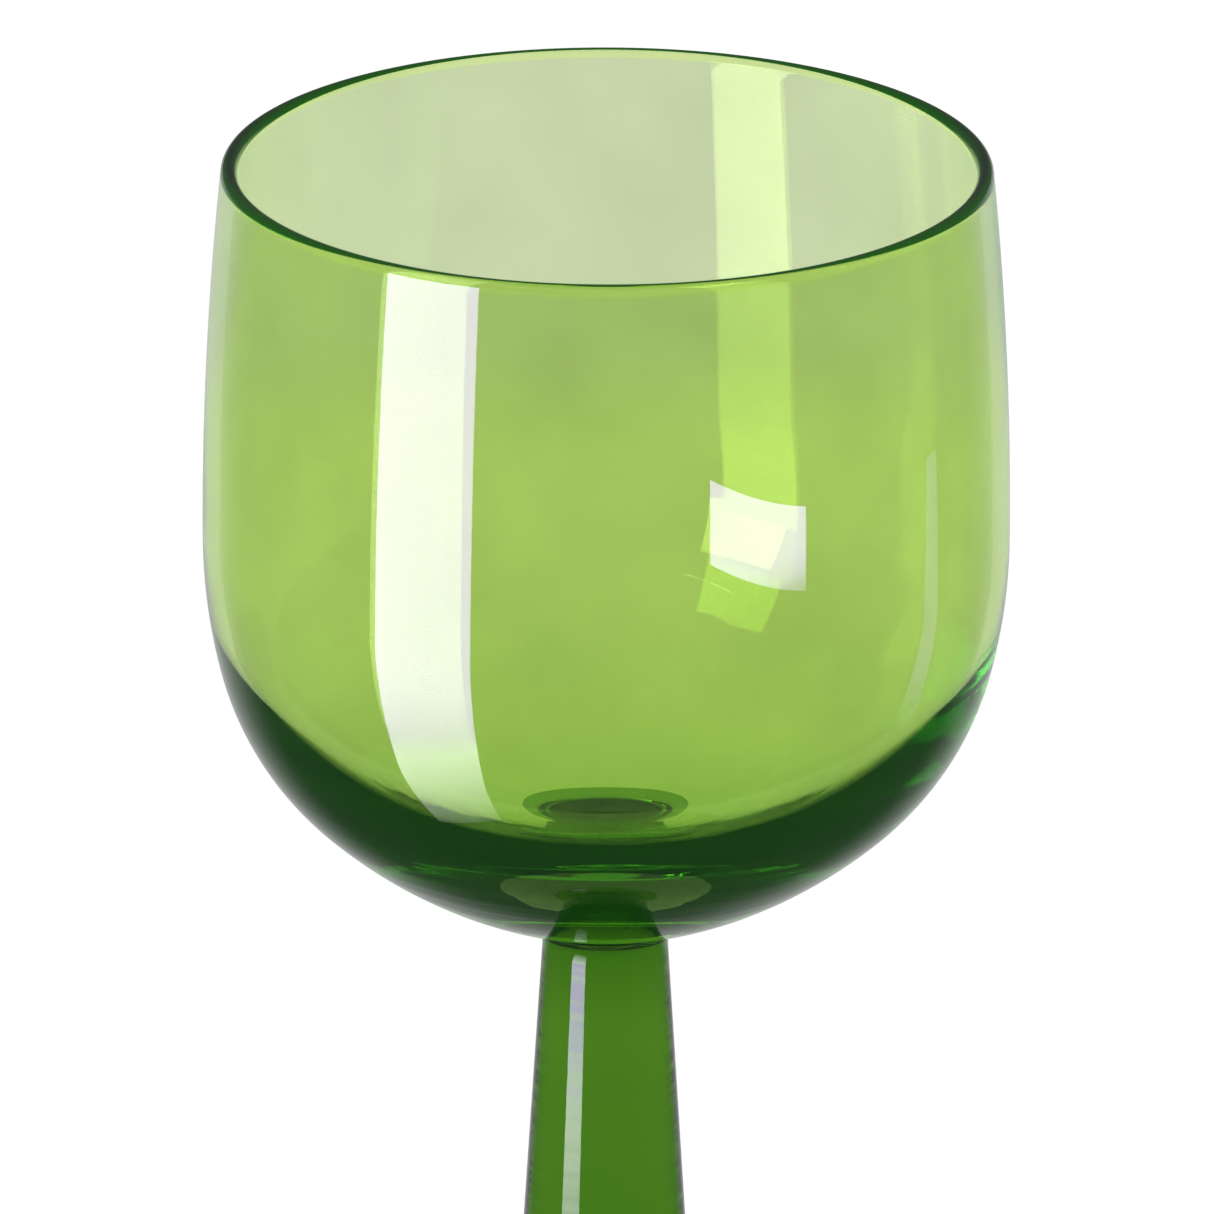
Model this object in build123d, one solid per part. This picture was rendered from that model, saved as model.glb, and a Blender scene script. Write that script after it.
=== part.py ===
from build123d import *
import math
import os

# A stemmed wine glass in three fused pieces: bowl, stem and foot.
# Millimetres, +Z up. The origin is the centre of the resting ring under the foot.
# Every piece is a solid of revolution about Z, so each outline is drawn as (radius, height).

# Overall
HEIGHT = 180.0

# Bowl, outside
WIDEST_RADIUS = 42.5
RIM_RADIUS = 40.4
RIM_TO_WIDEST = 40.15
SHOULDER_RADIUS = 58.5
SHOULDER_TURN = 13.8
TURN_IN_RADIUS = 32.5
TURN_IN_TURN = 33.3
UNDERSIDE_RADIUS = 55.7

# Bowl, inside
WALL = 1.75
INNER_SHOULDER_RADIUS = 54.6
INNER_SHOULDER_TURN = 9.0
INNER_CORNER_RADIUS = 26.0
INNER_CORNER_TURN = 48.0

# Stem
TOP_SEAT_RADIUS = 10.4
NECK_RADIUS = 6.7
NECK_FILLET_HEIGHT = 4.0
BASE_SEAT_RADIUS = 16.9
ANKLE_RADIUS = 11.7
ANKLE_FILLET_HEIGHT = 7.0

# Foot
FOOT_RADIUS = 37.5
FOOT_SEAT_HEIGHT = 6.0
FOOT_EDGE_THICKNESS = 2.6
RESTING_RING_WIDTH = 3.2
HOLLOW_HEIGHT = 1.6


def turning_arc(start, heading, radius, turn):
    """Arc that curls inward as it runs down; heading is its angle from straight down, in degrees."""
    stops = [math.radians(heading + turn * share) for share in (0.0, 0.5, 1.0)]
    first = stops[0]
    points = []
    for angle in stops:
        r = start[0] - radius * (math.cos(first) - math.cos(angle))
        z = start[1] - radius * (math.sin(angle) - math.sin(first))
        points.append((r, z))
    return ThreePointArc(*points), points[-1], heading + turn


def turn_to_radius(start, heading, radius, end_radius):
    """Degrees that a turning arc needs to come in to a given distance from the axis."""
    cosine = math.cos(math.radians(heading)) - (start[0] - end_radius) / radius
    return math.degrees(math.acos(cosine)) - heading


def wall_arc(widest, rim):
    """Side wall above the widest circle: upright at the widest circle, leaning in to the rim."""
    inset = widest[0] - rim[0]
    rise = rim[1] - widest[1]
    radius = (inset * inset + rise * rise) / (2.0 * inset)
    half_angle = 0.5 * math.asin(rise / radius)
    middle = (
        widest[0] - radius * (1.0 - math.cos(half_angle)),
        widest[1] + radius * math.sin(half_angle),
    )
    return ThreePointArc(rim, middle, widest)


def lathe(edges):
    """Solid of revolution of a closed outline drawn in the XZ plane."""
    outline = make_face(Plane.XZ * Wire(edges))
    return revolve(outline, Axis.Z, 360)


LIP_ROUND = WALL / 2.0
LIP_Z = HEIGHT - LIP_ROUND
WIDEST_Z = LIP_Z - RIM_TO_WIDEST
FOOT_TOP_Z = FOOT_SEAT_HEIGHT


def bowl_outside():
    """Outer skin from the rim down to the stem's seat, and where it ends."""
    rim = (RIM_RADIUS, LIP_Z)
    widest = (WIDEST_RADIUS, WIDEST_Z)
    side = wall_arc(widest, rim)
    shoulder, end, heading = turning_arc(widest, 0.0, SHOULDER_RADIUS, SHOULDER_TURN)
    turn_in, end, heading = turning_arc(end, heading, TURN_IN_RADIUS, TURN_IN_TURN)
    last_turn = turn_to_radius(end, heading, UNDERSIDE_RADIUS, TOP_SEAT_RADIUS)
    underside, seat, heading = turning_arc(end, heading, UNDERSIDE_RADIUS, last_turn)
    return [side, shoulder, turn_in, underside], seat


def bowl_inside():
    """Inner skin from the rim down to the lowest point of the floor, and where that is."""
    rim = (RIM_RADIUS - WALL, LIP_Z)
    widest = (WIDEST_RADIUS - WALL, WIDEST_Z)
    side = wall_arc(widest, rim)
    shoulder, end, heading = turning_arc(
        widest, 0.0, INNER_SHOULDER_RADIUS, INNER_SHOULDER_TURN
    )
    corner, end, heading = turning_arc(end, heading, INNER_CORNER_RADIUS, INNER_CORNER_TURN)
    floor_radius = end[0] / math.cos(math.radians(heading))
    floor, lowest, heading = turning_arc(end, heading, floor_radius, 90.0 - heading)
    return [side, shoulder, corner, floor], lowest


def make_bowl():
    """Thin-walled bowl with a rounded rim and a thick bottom."""
    outside, seat = bowl_outside()
    inside, lowest = bowl_inside()
    lip = ThreePointArc(
        (RIM_RADIUS - WALL, LIP_Z), (RIM_RADIUS - LIP_ROUND, HEIGHT), (RIM_RADIUS, LIP_Z)
    )
    seat_face = Line(seat, (0.0, seat[1]))
    axis = Line((0.0, seat[1]), (0.0, lowest[1]))
    return lathe([lip, *outside, seat_face, axis, *inside])


def stem_side(seat_z):
    """Stem outline from the bowl's seat down: neck fillet, straight taper, ankle fillet."""
    neck = (NECK_RADIUS, seat_z - NECK_FILLET_HEIGHT)
    ankle = (ANKLE_RADIUS, FOOT_TOP_Z + ANKLE_FILLET_HEIGHT)
    taper = Line(neck, ankle)
    neck_fillet = TangentArc((neck[0], neck[1]), (TOP_SEAT_RADIUS, seat_z), tangent=-(taper % 0))
    ankle_fillet = TangentArc(ankle, (BASE_SEAT_RADIUS, FOOT_TOP_Z), tangent=taper % 1)
    return [neck_fillet, taper, ankle_fillet]


def make_stem():
    """Solid stem that widens toward the foot, flared at both seats."""
    outside, seat = bowl_outside()
    seat_z = seat[1]
    top = Line((0.0, seat_z), (TOP_SEAT_RADIUS, seat_z))
    bottom = Line((BASE_SEAT_RADIUS, FOOT_TOP_Z), (0.0, FOOT_TOP_Z))
    axis = Line((0.0, FOOT_TOP_Z), (0.0, seat_z))
    return lathe([top, *stem_side(seat_z), bottom, axis])


def make_foot():
    """Round foot: gently domed above, slightly hollow below, standing on a flat ring."""
    seat_edge = (BASE_SEAT_RADIUS, FOOT_TOP_Z)
    edge_round = FOOT_EDGE_THICKNESS / 2.0
    edge_top = (FOOT_RADIUS - edge_round, FOOT_EDGE_THICKNESS)
    edge_side = (FOOT_RADIUS, edge_round)
    ring_outer = (FOOT_RADIUS - edge_round, 0.0)
    ring_inner = (ring_outer[0] - RESTING_RING_WIDTH, 0.0)
    hollow_top = (0.0, HOLLOW_HEIGHT)
    seat = Line((0.0, FOOT_TOP_Z), seat_edge)
    dome = TangentArc(edge_top, seat_edge, tangent=(-1.0, 0.0))
    edge_upper = TangentArc(edge_top, edge_side, tangent=(1.0, 0.0))
    edge_lower = TangentArc(edge_side, ring_outer, tangent=(0.0, -1.0))
    ring = Line(ring_outer, ring_inner)
    hollow = TangentArc(hollow_top, ring_inner, tangent=(1.0, 0.0))
    axis = Line(hollow_top, (0.0, FOOT_TOP_Z))
    return lathe([seat, dome, edge_upper, edge_lower, ring, hollow, axis])


PIECES = {"bowl": make_bowl, "stem": make_stem, "foot": make_foot}

os.makedirs("parts", exist_ok=True)
for name, make in PIECES.items():
    export_step(make(), f"parts/{name}.step")
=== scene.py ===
import bpy
import math
from mathutils import Matrix, Vector


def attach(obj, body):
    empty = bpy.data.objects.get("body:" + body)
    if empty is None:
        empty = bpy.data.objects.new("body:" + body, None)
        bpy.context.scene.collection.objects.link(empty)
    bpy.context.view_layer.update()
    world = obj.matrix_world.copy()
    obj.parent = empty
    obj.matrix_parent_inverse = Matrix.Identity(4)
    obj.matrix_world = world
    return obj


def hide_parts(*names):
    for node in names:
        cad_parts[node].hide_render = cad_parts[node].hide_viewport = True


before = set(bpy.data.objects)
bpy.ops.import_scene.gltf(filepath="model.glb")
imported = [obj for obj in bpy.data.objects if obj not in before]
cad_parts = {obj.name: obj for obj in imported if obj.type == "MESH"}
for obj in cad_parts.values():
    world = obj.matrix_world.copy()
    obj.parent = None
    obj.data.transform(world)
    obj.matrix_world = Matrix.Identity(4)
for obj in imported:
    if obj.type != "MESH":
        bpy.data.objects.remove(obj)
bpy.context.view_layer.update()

MM = 0.001

# The CAD part's driving sizes, in millimetres. A turn is (radius, degrees), from the widest circle down.
HEIGHT = 180.0
WIDEST_RADIUS = 42.5
RIM_RADIUS = 40.4
RIM_TO_WIDEST = 40.15
WALL = 1.75
OUTER_TURNS = ((58.5, 13.8), (32.5, 33.3))
UNDERSIDE_RADIUS = 55.7
INNER_TURNS = ((54.6, 9.0), (26.0, 48.0))
TOP_SEAT_RADIUS = 10.4
NECK_RADIUS = 6.7
NECK_FILLET_HEIGHT = 4.0
BASE_SEAT_RADIUS = 16.9
ANKLE_RADIUS = 11.7
ANKLE_FILLET_HEIGHT = 7.0
FOOT_RADIUS = 37.5
FOOT_TOP_Z = 6.0
FOOT_EDGE_THICKNESS = 2.6
RESTING_RING_WIDTH = 3.2
HOLLOW_HEIGHT = 1.6

LIP_ROUND = WALL / 2.0
LIP_Z = HEIGHT - LIP_ROUND
WIDEST_Z = LIP_Z - RIM_TO_WIDEST

# Facing seat faces stand this far apart, so that no two faces lie in one plane.
SEAT_GAP = 0.02

# How finely the circles and the outlines are cut.
SEGMENTS = 256
WALL_STEPS = 40
OUTER_TURN_STEPS = 24
INNER_TURN_STEPS = 36
BOTTOM_STEPS = 40
LIP_STEPS = 12
FILLET_STEPS = 12
TAPER_STEPS = 20
DOME_STEPS = 24
EDGE_STEPS = 16
AXIS_TOLERANCE = 1e-6
SHARP_ANGLE = math.radians(35.0)

# Glass (red, green, blue): colour of a pane's two skins, and what each metre of depth takes away.
GLASS_IOR = 1.5
BOWL_TINT = (0.69, 0.80, 0.395)
BOWL_ABSORPTION = (46.0, 19.0, 84.0)
STEM_TINT = (0.165, 0.32, 0.035)
STEM_ABSORPTION = (60.0, 30.0, 90.0)
FOOT_TINT = (0.5, 0.66, 0.28)
FOOT_ABSORPTION = STEM_ABSORPTION
# Painted glow: a faint green light laid on every glass skin, standing in for light that the glass carries
# through to the lip.
SKIN_PAINTED_GLOW = (0.22, 1.0, 0.28, 1.0)
SKIN_PAINTED_GLOW_STRENGTH = 0.0055
CLOUD_SCALE = 70.0
CLOUD_DETAIL = 2.0
CLOUD_DEPTH = 0.11

# Painted shade: the stem's skin darkens by these shares, over this height in metres, toward its seat under
# the bowl.
STEM_SEAT_PAINTED_SHADE = (0.45, 0.65, 0.25)
STEM_PAINTED_SHADE_Z = (0.082, 0.096)

# Waves and striae of worked glass, in metres. Striae lie level, in the thick bottom only.
WAVE_SCALE = 28.0
WAVE_HEIGHT = 0.00012
STRIAE_SCALE = (45.0, 45.0, 650.0)
STRIAE_DETAIL = 1.0
STRIAE_HEIGHT = 0.00005
STRIAE_Z = (0.122, 0.104)

WHITE = (1.0, 1.0, 1.0, 1.0)

# Floor and backdrop, in metres.
STAGE_RADIUS = 6.0
STAGE_SIDES = 96
BACKDROP_HEIGHT = 6.0
PAPER_COLOUR = (0.8, 0.8, 0.8, 1.0)
PAPER_ROUGHNESS = 0.9
PAPER_GLOW = 0.93

# What the glass sees: brightness of the table and the surroundings, from the camera's side to the far side.
LIT_TABLE_RADIUS = 5.9
LIT_TABLE_Z = -0.0005
TABLE_RAMP_Y = (-0.25, 0.1)
TABLE_GLOW = (0.3, 1.0)
FAR_TABLE_Y = (0.42, 0.48)
FAR_TABLE_COLOUR = (0.93, 0.89, 1.24, 1.0)
FAR_SIDE_Y = (0.5, 0.95)
BELOW_HORIZON = (0.08, 0.6)
HORIZON_Z = (-0.05, 0.05)
ABOVE_HORIZON = 0.14

# Bright cards beside the glass. Those that the skins mirror are white low down and cooler above.
CARD_COLOUR = (0.7, 0.46, 1.0, 1.0)
CARD_COLOUR_Z = (0.038, 0.052)
CARD_DIM_SHARE = 0.02
CARDS = (
    dict(
        name="leaning_card", azimuth=55.0, strength=14.4, fade=(-0.01, 0.075), seen_by="skins",
        bottom=(0.1, 0.001, 0.012, -0.034), top=(0.265, 0.166, 0.03, -0.1),
    ),
    dict(
        name="leaning_card_inside", azimuth=59.5, strength=7.0, fade=(0.0, 0.085), seen_by="depth",
        bottom=(0.1, 0.001, 0.01, -0.04), top=(0.265, 0.166, 0.026, -0.1),
    ),
    dict(
        name="window", azimuth=46.0, strength=14.0, fade=(0.0, 0.09), seen_by="depth",
        bottom=(0.55, 0.14, 0.13, -0.13), top=(0.55, 0.42, 0.13, -0.13),
    ),
    dict(
        name="pane", azimuth=-37.5, strength=14.0, fade=(0.108, 0.12), seen_by="skins",
        bottom=(0.14, 0.116, 0.031, -0.031), top=(0.14, 0.1305, 0.031, -0.031), slope=0.13,
    ),
    dict(
        name="side_streak", azimuth=-92.0, strength=1.6, fade=(0.045, 0.085), seen_by="skins",
        bottom=(0.14, 0.045, 0.011, -0.011), top=(0.14, 0.125, 0.005, -0.005),
    ),
)

# Camera: the point at the middle of the view, and where the camera stands from it.
TARGET_X = 0.1 * MM
TARGET_Z = 130.75 * MM
CAMERA_DISTANCE = 1.6
CAMERA_ELEVATION = math.radians(19.9)
CAMERA_LENS = 449.7
CAMERA_SENSOR = 36.0
CAMERA_ROLL = math.radians(-0.15)

# How often light may bounce: clear glass needs many crossings.
GLASS_BOUNCES = 40
DIFFUSE_BOUNCES = 4
TRANSPARENT_BOUNCES = 16


# ---- outlines, as (radius, height) in millimetres ----

def arc_points(start, heading, radius, turn, steps):
    """Points of an arc that curls inward as it runs down, without its first point."""
    first = math.radians(heading)
    points = []
    for step in range(1, steps + 1):
        angle = first + math.radians(turn) * step / steps
        r = start[0] - radius * (math.cos(first) - math.cos(angle))
        z = start[1] - radius * (math.sin(angle) - math.sin(first))
        points.append((r, z))
    return points


def wall_points(rim, widest):
    """The side wall's arc from the rim down to the widest circle, both ends included."""
    inset = widest[0] - rim[0]
    rise = rim[1] - widest[1]
    radius = (inset * inset + rise * rise) / (2.0 * inset)
    points = []
    for step in range(WALL_STEPS + 1):
        z = widest[1] + rise * (1.0 - step / WALL_STEPS)
        r = widest[0] - radius + math.sqrt(radius ** 2 - (z - widest[1]) ** 2)
        points.append((r, z))
    return points


def tangent_arc(start, heading, end, steps):
    """Points of the arc that leaves start along heading and reaches end, without start."""
    start, heading, end = Vector(start), Vector(heading).normalized(), Vector(end)
    chord = end - start
    bend = heading.angle_signed(chord)
    points = []
    for step in range(1, steps + 1):
        share = step / steps
        length = chord.length * math.sin(bend * share) / math.sin(bend)
        turned = heading.copy()
        turned.rotate(Matrix.Rotation(-bend * share, 2))
        points.append(tuple(start + turned * length))
    return points


def bowl_outside():
    """Outer skin from the rim down to the stem's seat."""
    points = wall_points((RIM_RADIUS, LIP_Z), (WIDEST_RADIUS, WIDEST_Z))
    heading = 0.0
    for radius, turn in OUTER_TURNS:
        points += arc_points(points[-1], heading, radius, turn, OUTER_TURN_STEPS)
        heading += turn
    drop = (points[-1][0] - TOP_SEAT_RADIUS) / UNDERSIDE_RADIUS
    last_turn = math.degrees(math.acos(math.cos(math.radians(heading)) - drop)) - heading
    return points + arc_points(points[-1], heading, UNDERSIDE_RADIUS, last_turn, BOTTOM_STEPS)


def bowl_inside():
    """Inner skin from the rim down to the floor's centre, where it ends level."""
    points = wall_points((RIM_RADIUS - WALL, LIP_Z), (WIDEST_RADIUS - WALL, WIDEST_Z))
    heading = 0.0
    for radius, turn in INNER_TURNS:
        points += arc_points(points[-1], heading, radius, turn, INNER_TURN_STEPS)
        heading += turn
    floor_radius = points[-1][0] / math.cos(math.radians(heading))
    points += arc_points(points[-1], heading, floor_radius, 90.0 - heading, BOTTOM_STEPS)
    points[-1] = (0.0, points[-1][1])
    return points


SEAT_Z = bowl_outside()[-1][1]


def bowl_outline():
    """From the floor's centre up the inside, over the lip and down the outside to the seat."""
    lip = []
    for step in range(1, LIP_STEPS):
        angle = math.pi * step / LIP_STEPS
        r = RIM_RADIUS - LIP_ROUND - LIP_ROUND * math.cos(angle)
        z = LIP_Z + LIP_ROUND * math.sin(angle)
        lip.append((r, z))
    return bowl_inside()[::-1] + lip + bowl_outside() + [(0.0, SEAT_Z)]


def stem_outline():
    """From the top seat's centre out, down the side and back in under the stem."""
    top = SEAT_Z - SEAT_GAP
    low = FOOT_TOP_Z + SEAT_GAP
    neck = Vector((NECK_RADIUS, SEAT_Z - NECK_FILLET_HEIGHT))
    ankle = Vector((ANKLE_RADIUS, FOOT_TOP_Z + ANKLE_FILLET_HEIGHT))
    taper = (ankle - neck).normalized()
    points = [(0.0, top), (TOP_SEAT_RADIUS, top)]
    points += tangent_arc(neck, -taper, (TOP_SEAT_RADIUS, top), FILLET_STEPS)[:-1][::-1]
    for step in range(TAPER_STEPS + 1):
        points.append(tuple(neck.lerp(ankle, step / TAPER_STEPS)))
    points += tangent_arc(ankle, taper, (BASE_SEAT_RADIUS, low), FILLET_STEPS)
    return points + [(0.0, low)]


def foot_outline():
    """From the seat's centre out over the dome, round the edge and back in under the foot."""
    edge_round = FOOT_EDGE_THICKNESS / 2.0
    edge_top = (FOOT_RADIUS - edge_round, FOOT_EDGE_THICKNESS)
    ring_outer = FOOT_RADIUS - edge_round
    ring_inner = ring_outer - RESTING_RING_WIDTH
    seat_edge = (BASE_SEAT_RADIUS, FOOT_TOP_Z)
    points = [(0.0, FOOT_TOP_Z), seat_edge]
    points += tangent_arc(edge_top, (-1.0, 0.0), seat_edge, DOME_STEPS)[:-1][::-1]
    points.append(edge_top)
    for step in range(1, EDGE_STEPS):
        angle = math.pi * step / EDGE_STEPS
        r = ring_outer + edge_round * math.sin(angle)
        z = edge_round * (1.0 + math.cos(angle))
        points.append((r, z))
    points += [(ring_outer, 0.0), (ring_inner, 0.0)]
    points += tangent_arc((0.0, HOLLOW_HEIGHT), (1.0, 0.0), (ring_inner, 0.0), DOME_STEPS)[:-1][::-1]
    return points + [(0.0, HOLLOW_HEIGHT)]


def circle_corners(radius, z, sides):
    """Corners of a level circle round the axis, in the units of radius and z."""
    corners = []
    for step in range(sides):
        angle = 2.0 * math.pi * step / sides
        corners.append((radius * math.cos(angle), radius * math.sin(angle), z))
    return corners


# ---- nodes ----

def new_nodes(owner, name):
    """A new material or world, its nodes and its links."""
    block = owner.new(name)
    block.use_nodes = True
    return block, block.node_tree.nodes, block.node_tree.links


def ramp(nodes, links, axis, start, end, low, high):
    """Value that runs from low to high as the surface's own x, y or z goes from start to end."""
    place = nodes.new("ShaderNodeTexCoord")
    split = nodes.new("ShaderNodeSeparateXYZ")
    spread = nodes.new("ShaderNodeMapRange")
    spread.interpolation_type = "SMOOTHSTEP"
    spread.inputs["From Min"].default_value = start
    spread.inputs["From Max"].default_value = end
    spread.inputs["To Min"].default_value = low
    spread.inputs["To Max"].default_value = high
    links.new(place.outputs["Object"], split.inputs["Vector"])
    links.new(split.outputs[axis], spread.inputs["Value"])
    return spread.outputs["Result"]


def blend(nodes, links, factor, low_colour, high_colour):
    """Colour that goes from low_colour to high_colour with factor. low_colour may be a socket."""
    mix = nodes.new("ShaderNodeMix")
    mix.data_type = "RGBA"
    if isinstance(low_colour, bpy.types.NodeSocket):
        links.new(low_colour, mix.inputs["A"])
    else:
        mix.inputs["A"].default_value = low_colour
    mix.inputs["B"].default_value = high_colour
    links.new(factor, mix.inputs["Factor"])
    return mix.outputs["Result"]


def noise(nodes, links, vector, scale, detail):
    texture = nodes.new("ShaderNodeTexNoise")
    texture.inputs["Scale"].default_value = scale
    texture.inputs["Detail"].default_value = detail
    links.new(vector, texture.inputs["Vector"])
    return texture.outputs["Fac"]


def emission_surface(nodes, links):
    nodes.remove(nodes["Principled BSDF"])
    emission = nodes.new("ShaderNodeEmission")
    links.new(emission.outputs["Emission"], nodes["Material Output"].inputs["Surface"])
    return emission


# ---- glass ----

def skin_colour(nodes, links, place, weld, tint, painted_shade_z):
    """Faintly clouded tint, darkened with painted shade up through the given height range, and clear where
    a face is welded.
    """
    thin = (*[c * (1.0 - CLOUD_DEPTH) for c in tint], 1.0)
    dense = (*[c * (1.0 + CLOUD_DEPTH) for c in tint], 1.0)
    skin = blend(nodes, links, noise(nodes, links, place, CLOUD_SCALE, CLOUD_DETAIL), thin, dense)
    if painted_shade_z:
        # Painted shade: the tint darkens toward the stem's seat under the bowl.
        shaded_tint = (*[c * share for c, share in zip(tint, STEM_SEAT_PAINTED_SHADE)], 1.0)
        skin = blend(nodes, links, ramp(nodes, links, "Z", *painted_shade_z, 0.0, 1.0), skin, shaded_tint)
    return blend(nodes, links, weld, skin, WHITE)


def skin_relief(nodes, links, place):
    """Slow waves all over, with level striae growing stronger down the thick bottom."""
    waves = noise(nodes, links, place, WAVE_SCALE, 0.0)
    stretch = nodes.new("ShaderNodeMapping")
    stretch.inputs["Scale"].default_value = STRIAE_SCALE
    links.new(place, stretch.inputs["Vector"])
    striae = noise(nodes, links, stretch.outputs["Vector"], 1.0, STRIAE_DETAIL)
    height = nodes.new("ShaderNodeSeparateXYZ")
    links.new(place, height.inputs["Vector"])
    thick = nodes.new("ShaderNodeMapRange")
    thick.inputs["From Min"].default_value = STRIAE_Z[0]
    thick.inputs["From Max"].default_value = STRIAE_Z[1]
    thick.inputs["To Max"].default_value = STRIAE_HEIGHT / WAVE_HEIGHT
    links.new(height.outputs["Z"], thick.inputs["Value"])
    relief = nodes.new("ShaderNodeMath")
    relief.operation = "MULTIPLY_ADD"
    links.new(striae, relief.inputs[0])
    links.new(thick.outputs["Result"], relief.inputs[1])
    links.new(waves, relief.inputs[2])
    bump = nodes.new("ShaderNodeBump")
    bump.inputs["Distance"].default_value = WAVE_HEIGHT
    links.new(relief.outputs["Value"], bump.inputs["Height"])
    return bump.outputs["Normal"]


def glass_material(name, tint, absorption, painted_shade_z):
    """Green glass: a tinted skin over a coloured depth, with a faint painted green glow on the skin. A weld
    face has no optical step and no tint.

    The last argument is the height range over which painted shade darkens the skin, or None.
    """
    material, nodes, links = new_nodes(bpy.data.materials, name)
    shader = nodes["Principled BSDF"]
    shader.inputs["Roughness"].default_value = 0.0
    shader.inputs["Transmission Weight"].default_value = 1.0
    # Painted glow: a faint green light on the skin, standing in for light that the glass carries inside it.
    shader.inputs["Emission Color"].default_value = SKIN_PAINTED_GLOW
    shader.inputs["Emission Strength"].default_value = SKIN_PAINTED_GLOW_STRENGTH
    weld = nodes.new("ShaderNodeAttribute")
    weld.attribute_name = "weld"
    index = nodes.new("ShaderNodeMapRange")
    index.inputs["To Min"].default_value = GLASS_IOR
    index.inputs["To Max"].default_value = 1.0
    links.new(weld.outputs["Fac"], index.inputs["Value"])
    links.new(index.outputs["Result"], shader.inputs["IOR"])
    place = nodes.new("ShaderNodeTexCoord").outputs["Object"]
    colour = skin_colour(nodes, links, place, weld.outputs["Fac"], tint, painted_shade_z)
    links.new(colour, shader.inputs["Base Color"])
    links.new(skin_relief(nodes, links, place), shader.inputs["Normal"])

    volume = nodes.new("ShaderNodeVolumeAbsorption")
    density = max(absorption)
    volume.inputs["Color"].default_value = (*[1.0 - a / density for a in absorption], 1.0)
    volume.inputs["Density"].default_value = density
    links.new(volume.outputs["Volume"], nodes["Material Output"].inputs["Volume"])
    return material


# ---- pieces ----

def lathe(name, outline, weld_heights):
    """Closed mesh of revolution. Faces level with a weld height carry weld = 1, the rest 0."""
    vertices = []
    rings = []
    for r, z in outline:
        first = len(vertices)
        if r < AXIS_TOLERANCE:
            rings.append([first] * SEGMENTS)
            vertices.append((0.0, 0.0, z * MM))
        else:
            rings.append(list(range(first, first + SEGMENTS)))
            vertices += circle_corners(r * MM, z * MM, SEGMENTS)
    faces = []
    weld = []
    for index, (upper, lower) in enumerate(zip(rings[:-1], rings[1:])):
        z_pair = (outline[index][1], outline[index + 1][1])
        level = any(max(abs(z - h) for z in z_pair) < 0.5 * SEAT_GAP for h in weld_heights)
        for step in range(SEGMENTS):
            after = (step + 1) % SEGMENTS
            corners = [upper[step], lower[step], lower[after], upper[after]]
            faces.append(list(dict.fromkeys(corners)))
            weld.append(1.0 if level else 0.0)
    mesh = bpy.data.meshes.new(name)
    mesh.from_pydata(vertices, [], faces)
    mesh.attributes.new("weld", "FLOAT", "FACE").data.foreach_set("value", weld)
    mesh.validate()
    mesh.shade_smooth()
    mesh.set_sharp_from_angle(angle=SHARP_ANGLE)
    piece = bpy.data.objects.new(name, mesh)
    bpy.context.scene.collection.objects.link(piece)
    return piece


def add_piece(node, outline, weld_heights, tint, absorption, painted_shade_z=None):
    """Glass body that takes the place of a CAD node."""
    piece = lathe(node + "_glass_body", outline, weld_heights)
    piece.data.materials.append(glass_material(node + "_green_glass", tint, absorption, painted_shade_z))
    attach(piece, "root")
    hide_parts(node)


stem_welds = [SEAT_Z - SEAT_GAP, FOOT_TOP_Z + SEAT_GAP]
add_piece("bowl", bowl_outline(), [SEAT_Z], BOWL_TINT, BOWL_ABSORPTION)
add_piece("stem", stem_outline(), stem_welds, STEM_TINT, STEM_ABSORPTION, STEM_PAINTED_SHADE_Z)
add_piece("foot", foot_outline(), [FOOT_TOP_Z], FOOT_TINT, FOOT_ABSORPTION)


# ---- floor, light and camera ----

def staged_mesh(name, corners, faces, material):
    mesh = bpy.data.meshes.new(name)
    mesh.from_pydata(corners, [], faces)
    mesh.materials.append(material)
    staged = bpy.data.objects.new(name, mesh)
    bpy.context.scene.collection.objects.link(staged)
    return staged


def staged_disc(name, radius, z, material):
    return staged_mesh(name, circle_corners(radius, z, STAGE_SIDES), [range(STAGE_SIDES)], material)


def make_floor():
    """Pale floor as the camera sees it."""
    material, nodes, links = new_nodes(bpy.data.materials, "floor_paper")
    shader = nodes["Principled BSDF"]
    shader.inputs["Base Color"].default_value = PAPER_COLOUR
    shader.inputs["Roughness"].default_value = PAPER_ROUGHNESS
    shader.inputs["Specular IOR Level"].default_value = 0.0
    shader.inputs["Emission Color"].default_value = WHITE
    shader.inputs["Emission Strength"].default_value = PAPER_GLOW
    floor = staged_disc("floor", STAGE_RADIUS, 0.0, material)
    floor.visible_glossy = False
    floor.visible_transmission = False


def make_backdrop():
    """Pale wall round the floor, which only level views show. It takes no part in the lighting."""
    material, nodes, links = new_nodes(bpy.data.materials, "backdrop_paper")
    emission_surface(nodes, links)
    corners = circle_corners(STAGE_RADIUS, 0.0, STAGE_SIDES)
    corners += circle_corners(STAGE_RADIUS, BACKDROP_HEIGHT, STAGE_SIDES)
    faces = []
    for step in range(STAGE_SIDES):
        after = (step + 1) % STAGE_SIDES
        faces.append((step, after, STAGE_SIDES + after, STAGE_SIDES + step))
    backdrop = staged_mesh("backdrop", corners, faces, material)
    backdrop.visible_glossy = False
    backdrop.visible_transmission = False
    backdrop.visible_diffuse = False
    backdrop.visible_shadow = False


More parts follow.
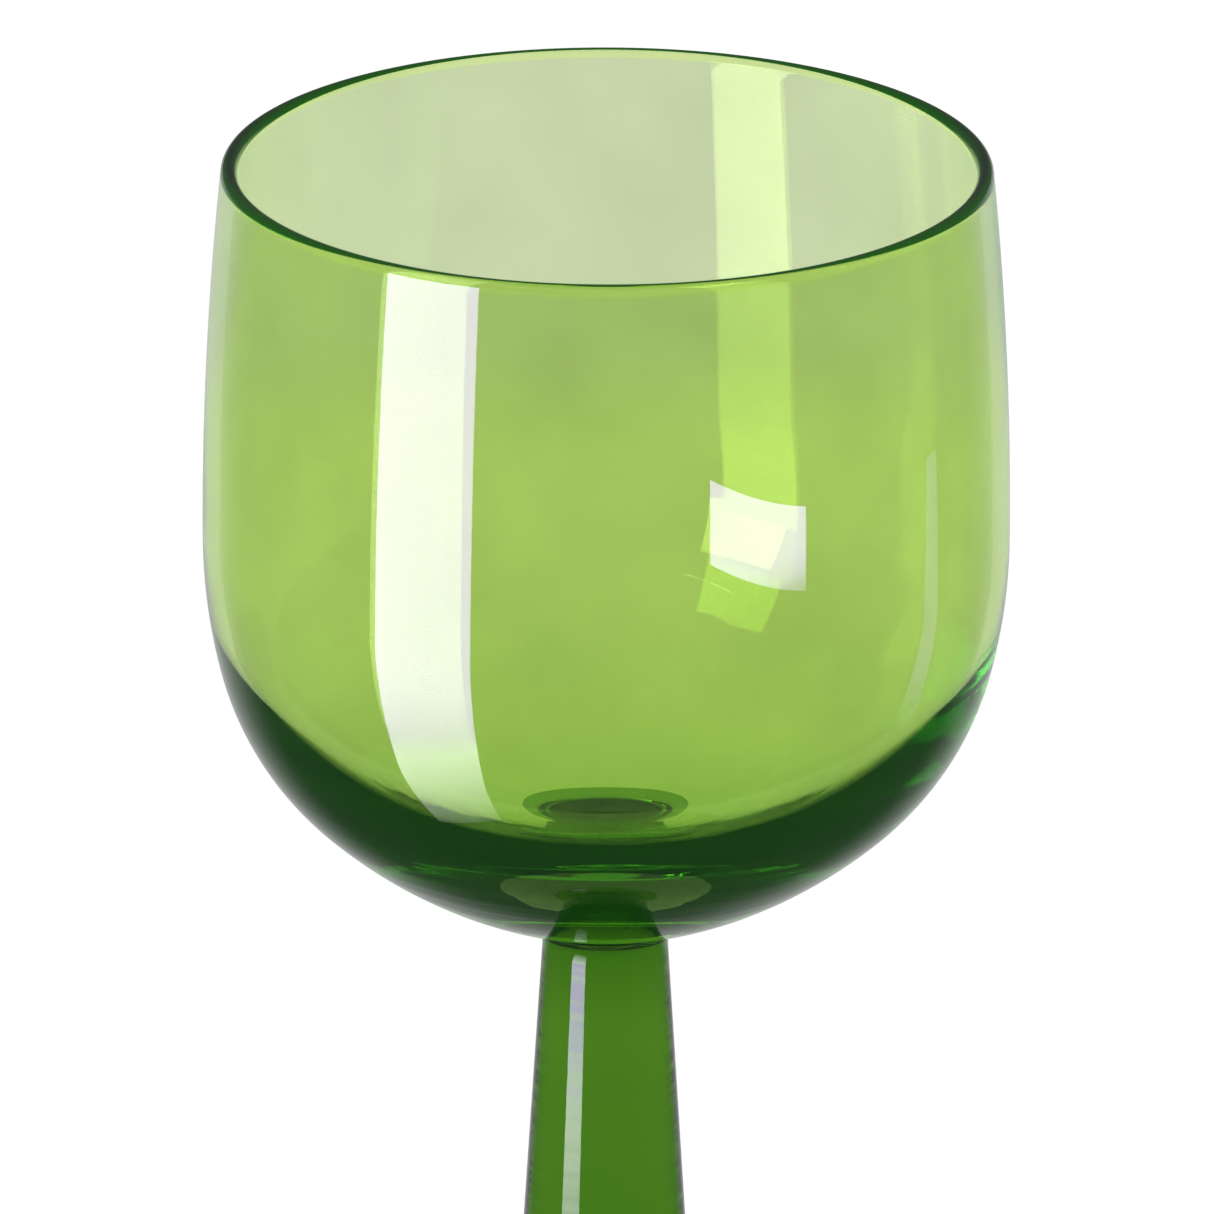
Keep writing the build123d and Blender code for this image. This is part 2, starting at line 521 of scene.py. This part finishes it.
def make_lit_table():
    """The table as the glass shows it: lit from behind, dimmer toward the camera, cooler far away."""
    material, nodes, links = new_nodes(bpy.data.materials, "lit_table")
    emission = emission_surface(nodes, links)
    glow = ramp(nodes, links, "Y", *TABLE_RAMP_Y, *TABLE_GLOW)
    links.new(glow, emission.inputs["Strength"])
    distance = ramp(nodes, links, "Y", *FAR_TABLE_Y, 0.0, 1.0)
    colour = blend(nodes, links, distance, WHITE, FAR_TABLE_COLOUR)
    links.new(colour, emission.inputs["Color"])
    table = staged_disc("lit_table", LIT_TABLE_RADIUS, LIT_TABLE_Z, material)
    table.visible_camera = False
    table.visible_glossy = False
    table.visible_diffuse = False


def make_world():
    """Dim surroundings, brighter low on the far side."""
    world, nodes, links = new_nodes(bpy.data.worlds, "studio")
    background = nodes["Background"]
    background.inputs["Color"].default_value = WHITE
    sky = nodes.new("ShaderNodeMix")
    sky.inputs["B"].default_value = ABOVE_HORIZON
    links.new(ramp(nodes, links, "Z", *HORIZON_Z, 0.0, 1.0), sky.inputs["Factor"])
    links.new(ramp(nodes, links, "Y", *FAR_SIDE_Y, *BELOW_HORIZON), sky.inputs["A"])
    links.new(sky.outputs["Result"], background.inputs["Strength"])
    bpy.context.scene.world = world


def make_light_card(name, azimuth, bottom, top, strength, fade, seen_by, slope=0.0):
    """Bright card beside the glass.

    bottom and top are each (distance from the axis, height, left end, right end) in metres. Azimuth 0 is
    the camera's side, positive to its left. fade is the height range over which the light comes in.
    seen_by says whether the card is mirrored by the outer skins only, or seen only through the glass.
    slope is how much the card's edges rise per metre toward its left end.
    """
    angle = math.radians(azimuth)
    outward = Vector((-math.sin(angle), -math.cos(angle), 0.0))
    along = Vector((-math.cos(angle), math.sin(angle), 0.0))
    corners = []
    for (distance, height, left, right), order in ((bottom, 1), (top, -1)):
        for end in (left, right)[::order]:
            rise = Vector((0.0, 0.0, height + slope * end))
            corners.append(tuple(outward * distance + along * end + rise))
    material, nodes, links = new_nodes(bpy.data.materials, name)
    emission = emission_surface(nodes, links)
    if seen_by == "skins":
        upper = ramp(nodes, links, "Z", *CARD_COLOUR_Z, 0.0, 1.0)
        links.new(blend(nodes, links, upper, WHITE, CARD_COLOUR), emission.inputs["Color"])
    glow = ramp(nodes, links, "Z", *fade, CARD_DIM_SHARE * strength, strength)
    links.new(glow, emission.inputs["Strength"])
    card = staged_mesh(name, corners, [range(len(corners))], material)
    card.visible_camera = False
    card.visible_diffuse = False
    card.visible_shadow = False
    card.visible_glossy = seen_by == "skins"
    card.visible_transmission = seen_by == "depth"


def make_camera():
    data = bpy.data.cameras.new("camera")
    data.lens = CAMERA_LENS
    data.sensor_width = CAMERA_SENSOR
    camera = bpy.data.objects.new("camera", data)
    back = -CAMERA_DISTANCE * math.cos(CAMERA_ELEVATION)
    up = CAMERA_DISTANCE * math.sin(CAMERA_ELEVATION)
    camera.location = (TARGET_X, back, TARGET_Z + up)
    towards = Vector((TARGET_X, 0.0, TARGET_Z)) - camera.location
    facing = towards.to_track_quat("-Z", "Y").to_matrix()
    roll = Matrix.Rotation(-CAMERA_ROLL, 3, "Z")
    camera.rotation_euler = (facing @ roll).to_euler()
    bpy.context.scene.collection.objects.link(camera)
    bpy.context.scene.camera = camera


make_floor()
make_backdrop()
make_lit_table()
make_world()
for card in CARDS:
    make_light_card(**card)
make_camera()

scene = bpy.context.scene
scene.view_settings.view_transform = "Standard"
scene.cycles.use_denoising = True
scene.cycles.max_bounces = GLASS_BOUNCES
scene.cycles.transmission_bounces = GLASS_BOUNCES
scene.cycles.glossy_bounces = GLASS_BOUNCES
scene.cycles.diffuse_bounces = DIFFUSE_BOUNCES
scene.cycles.transparent_max_bounces = TRANSPARENT_BOUNCES
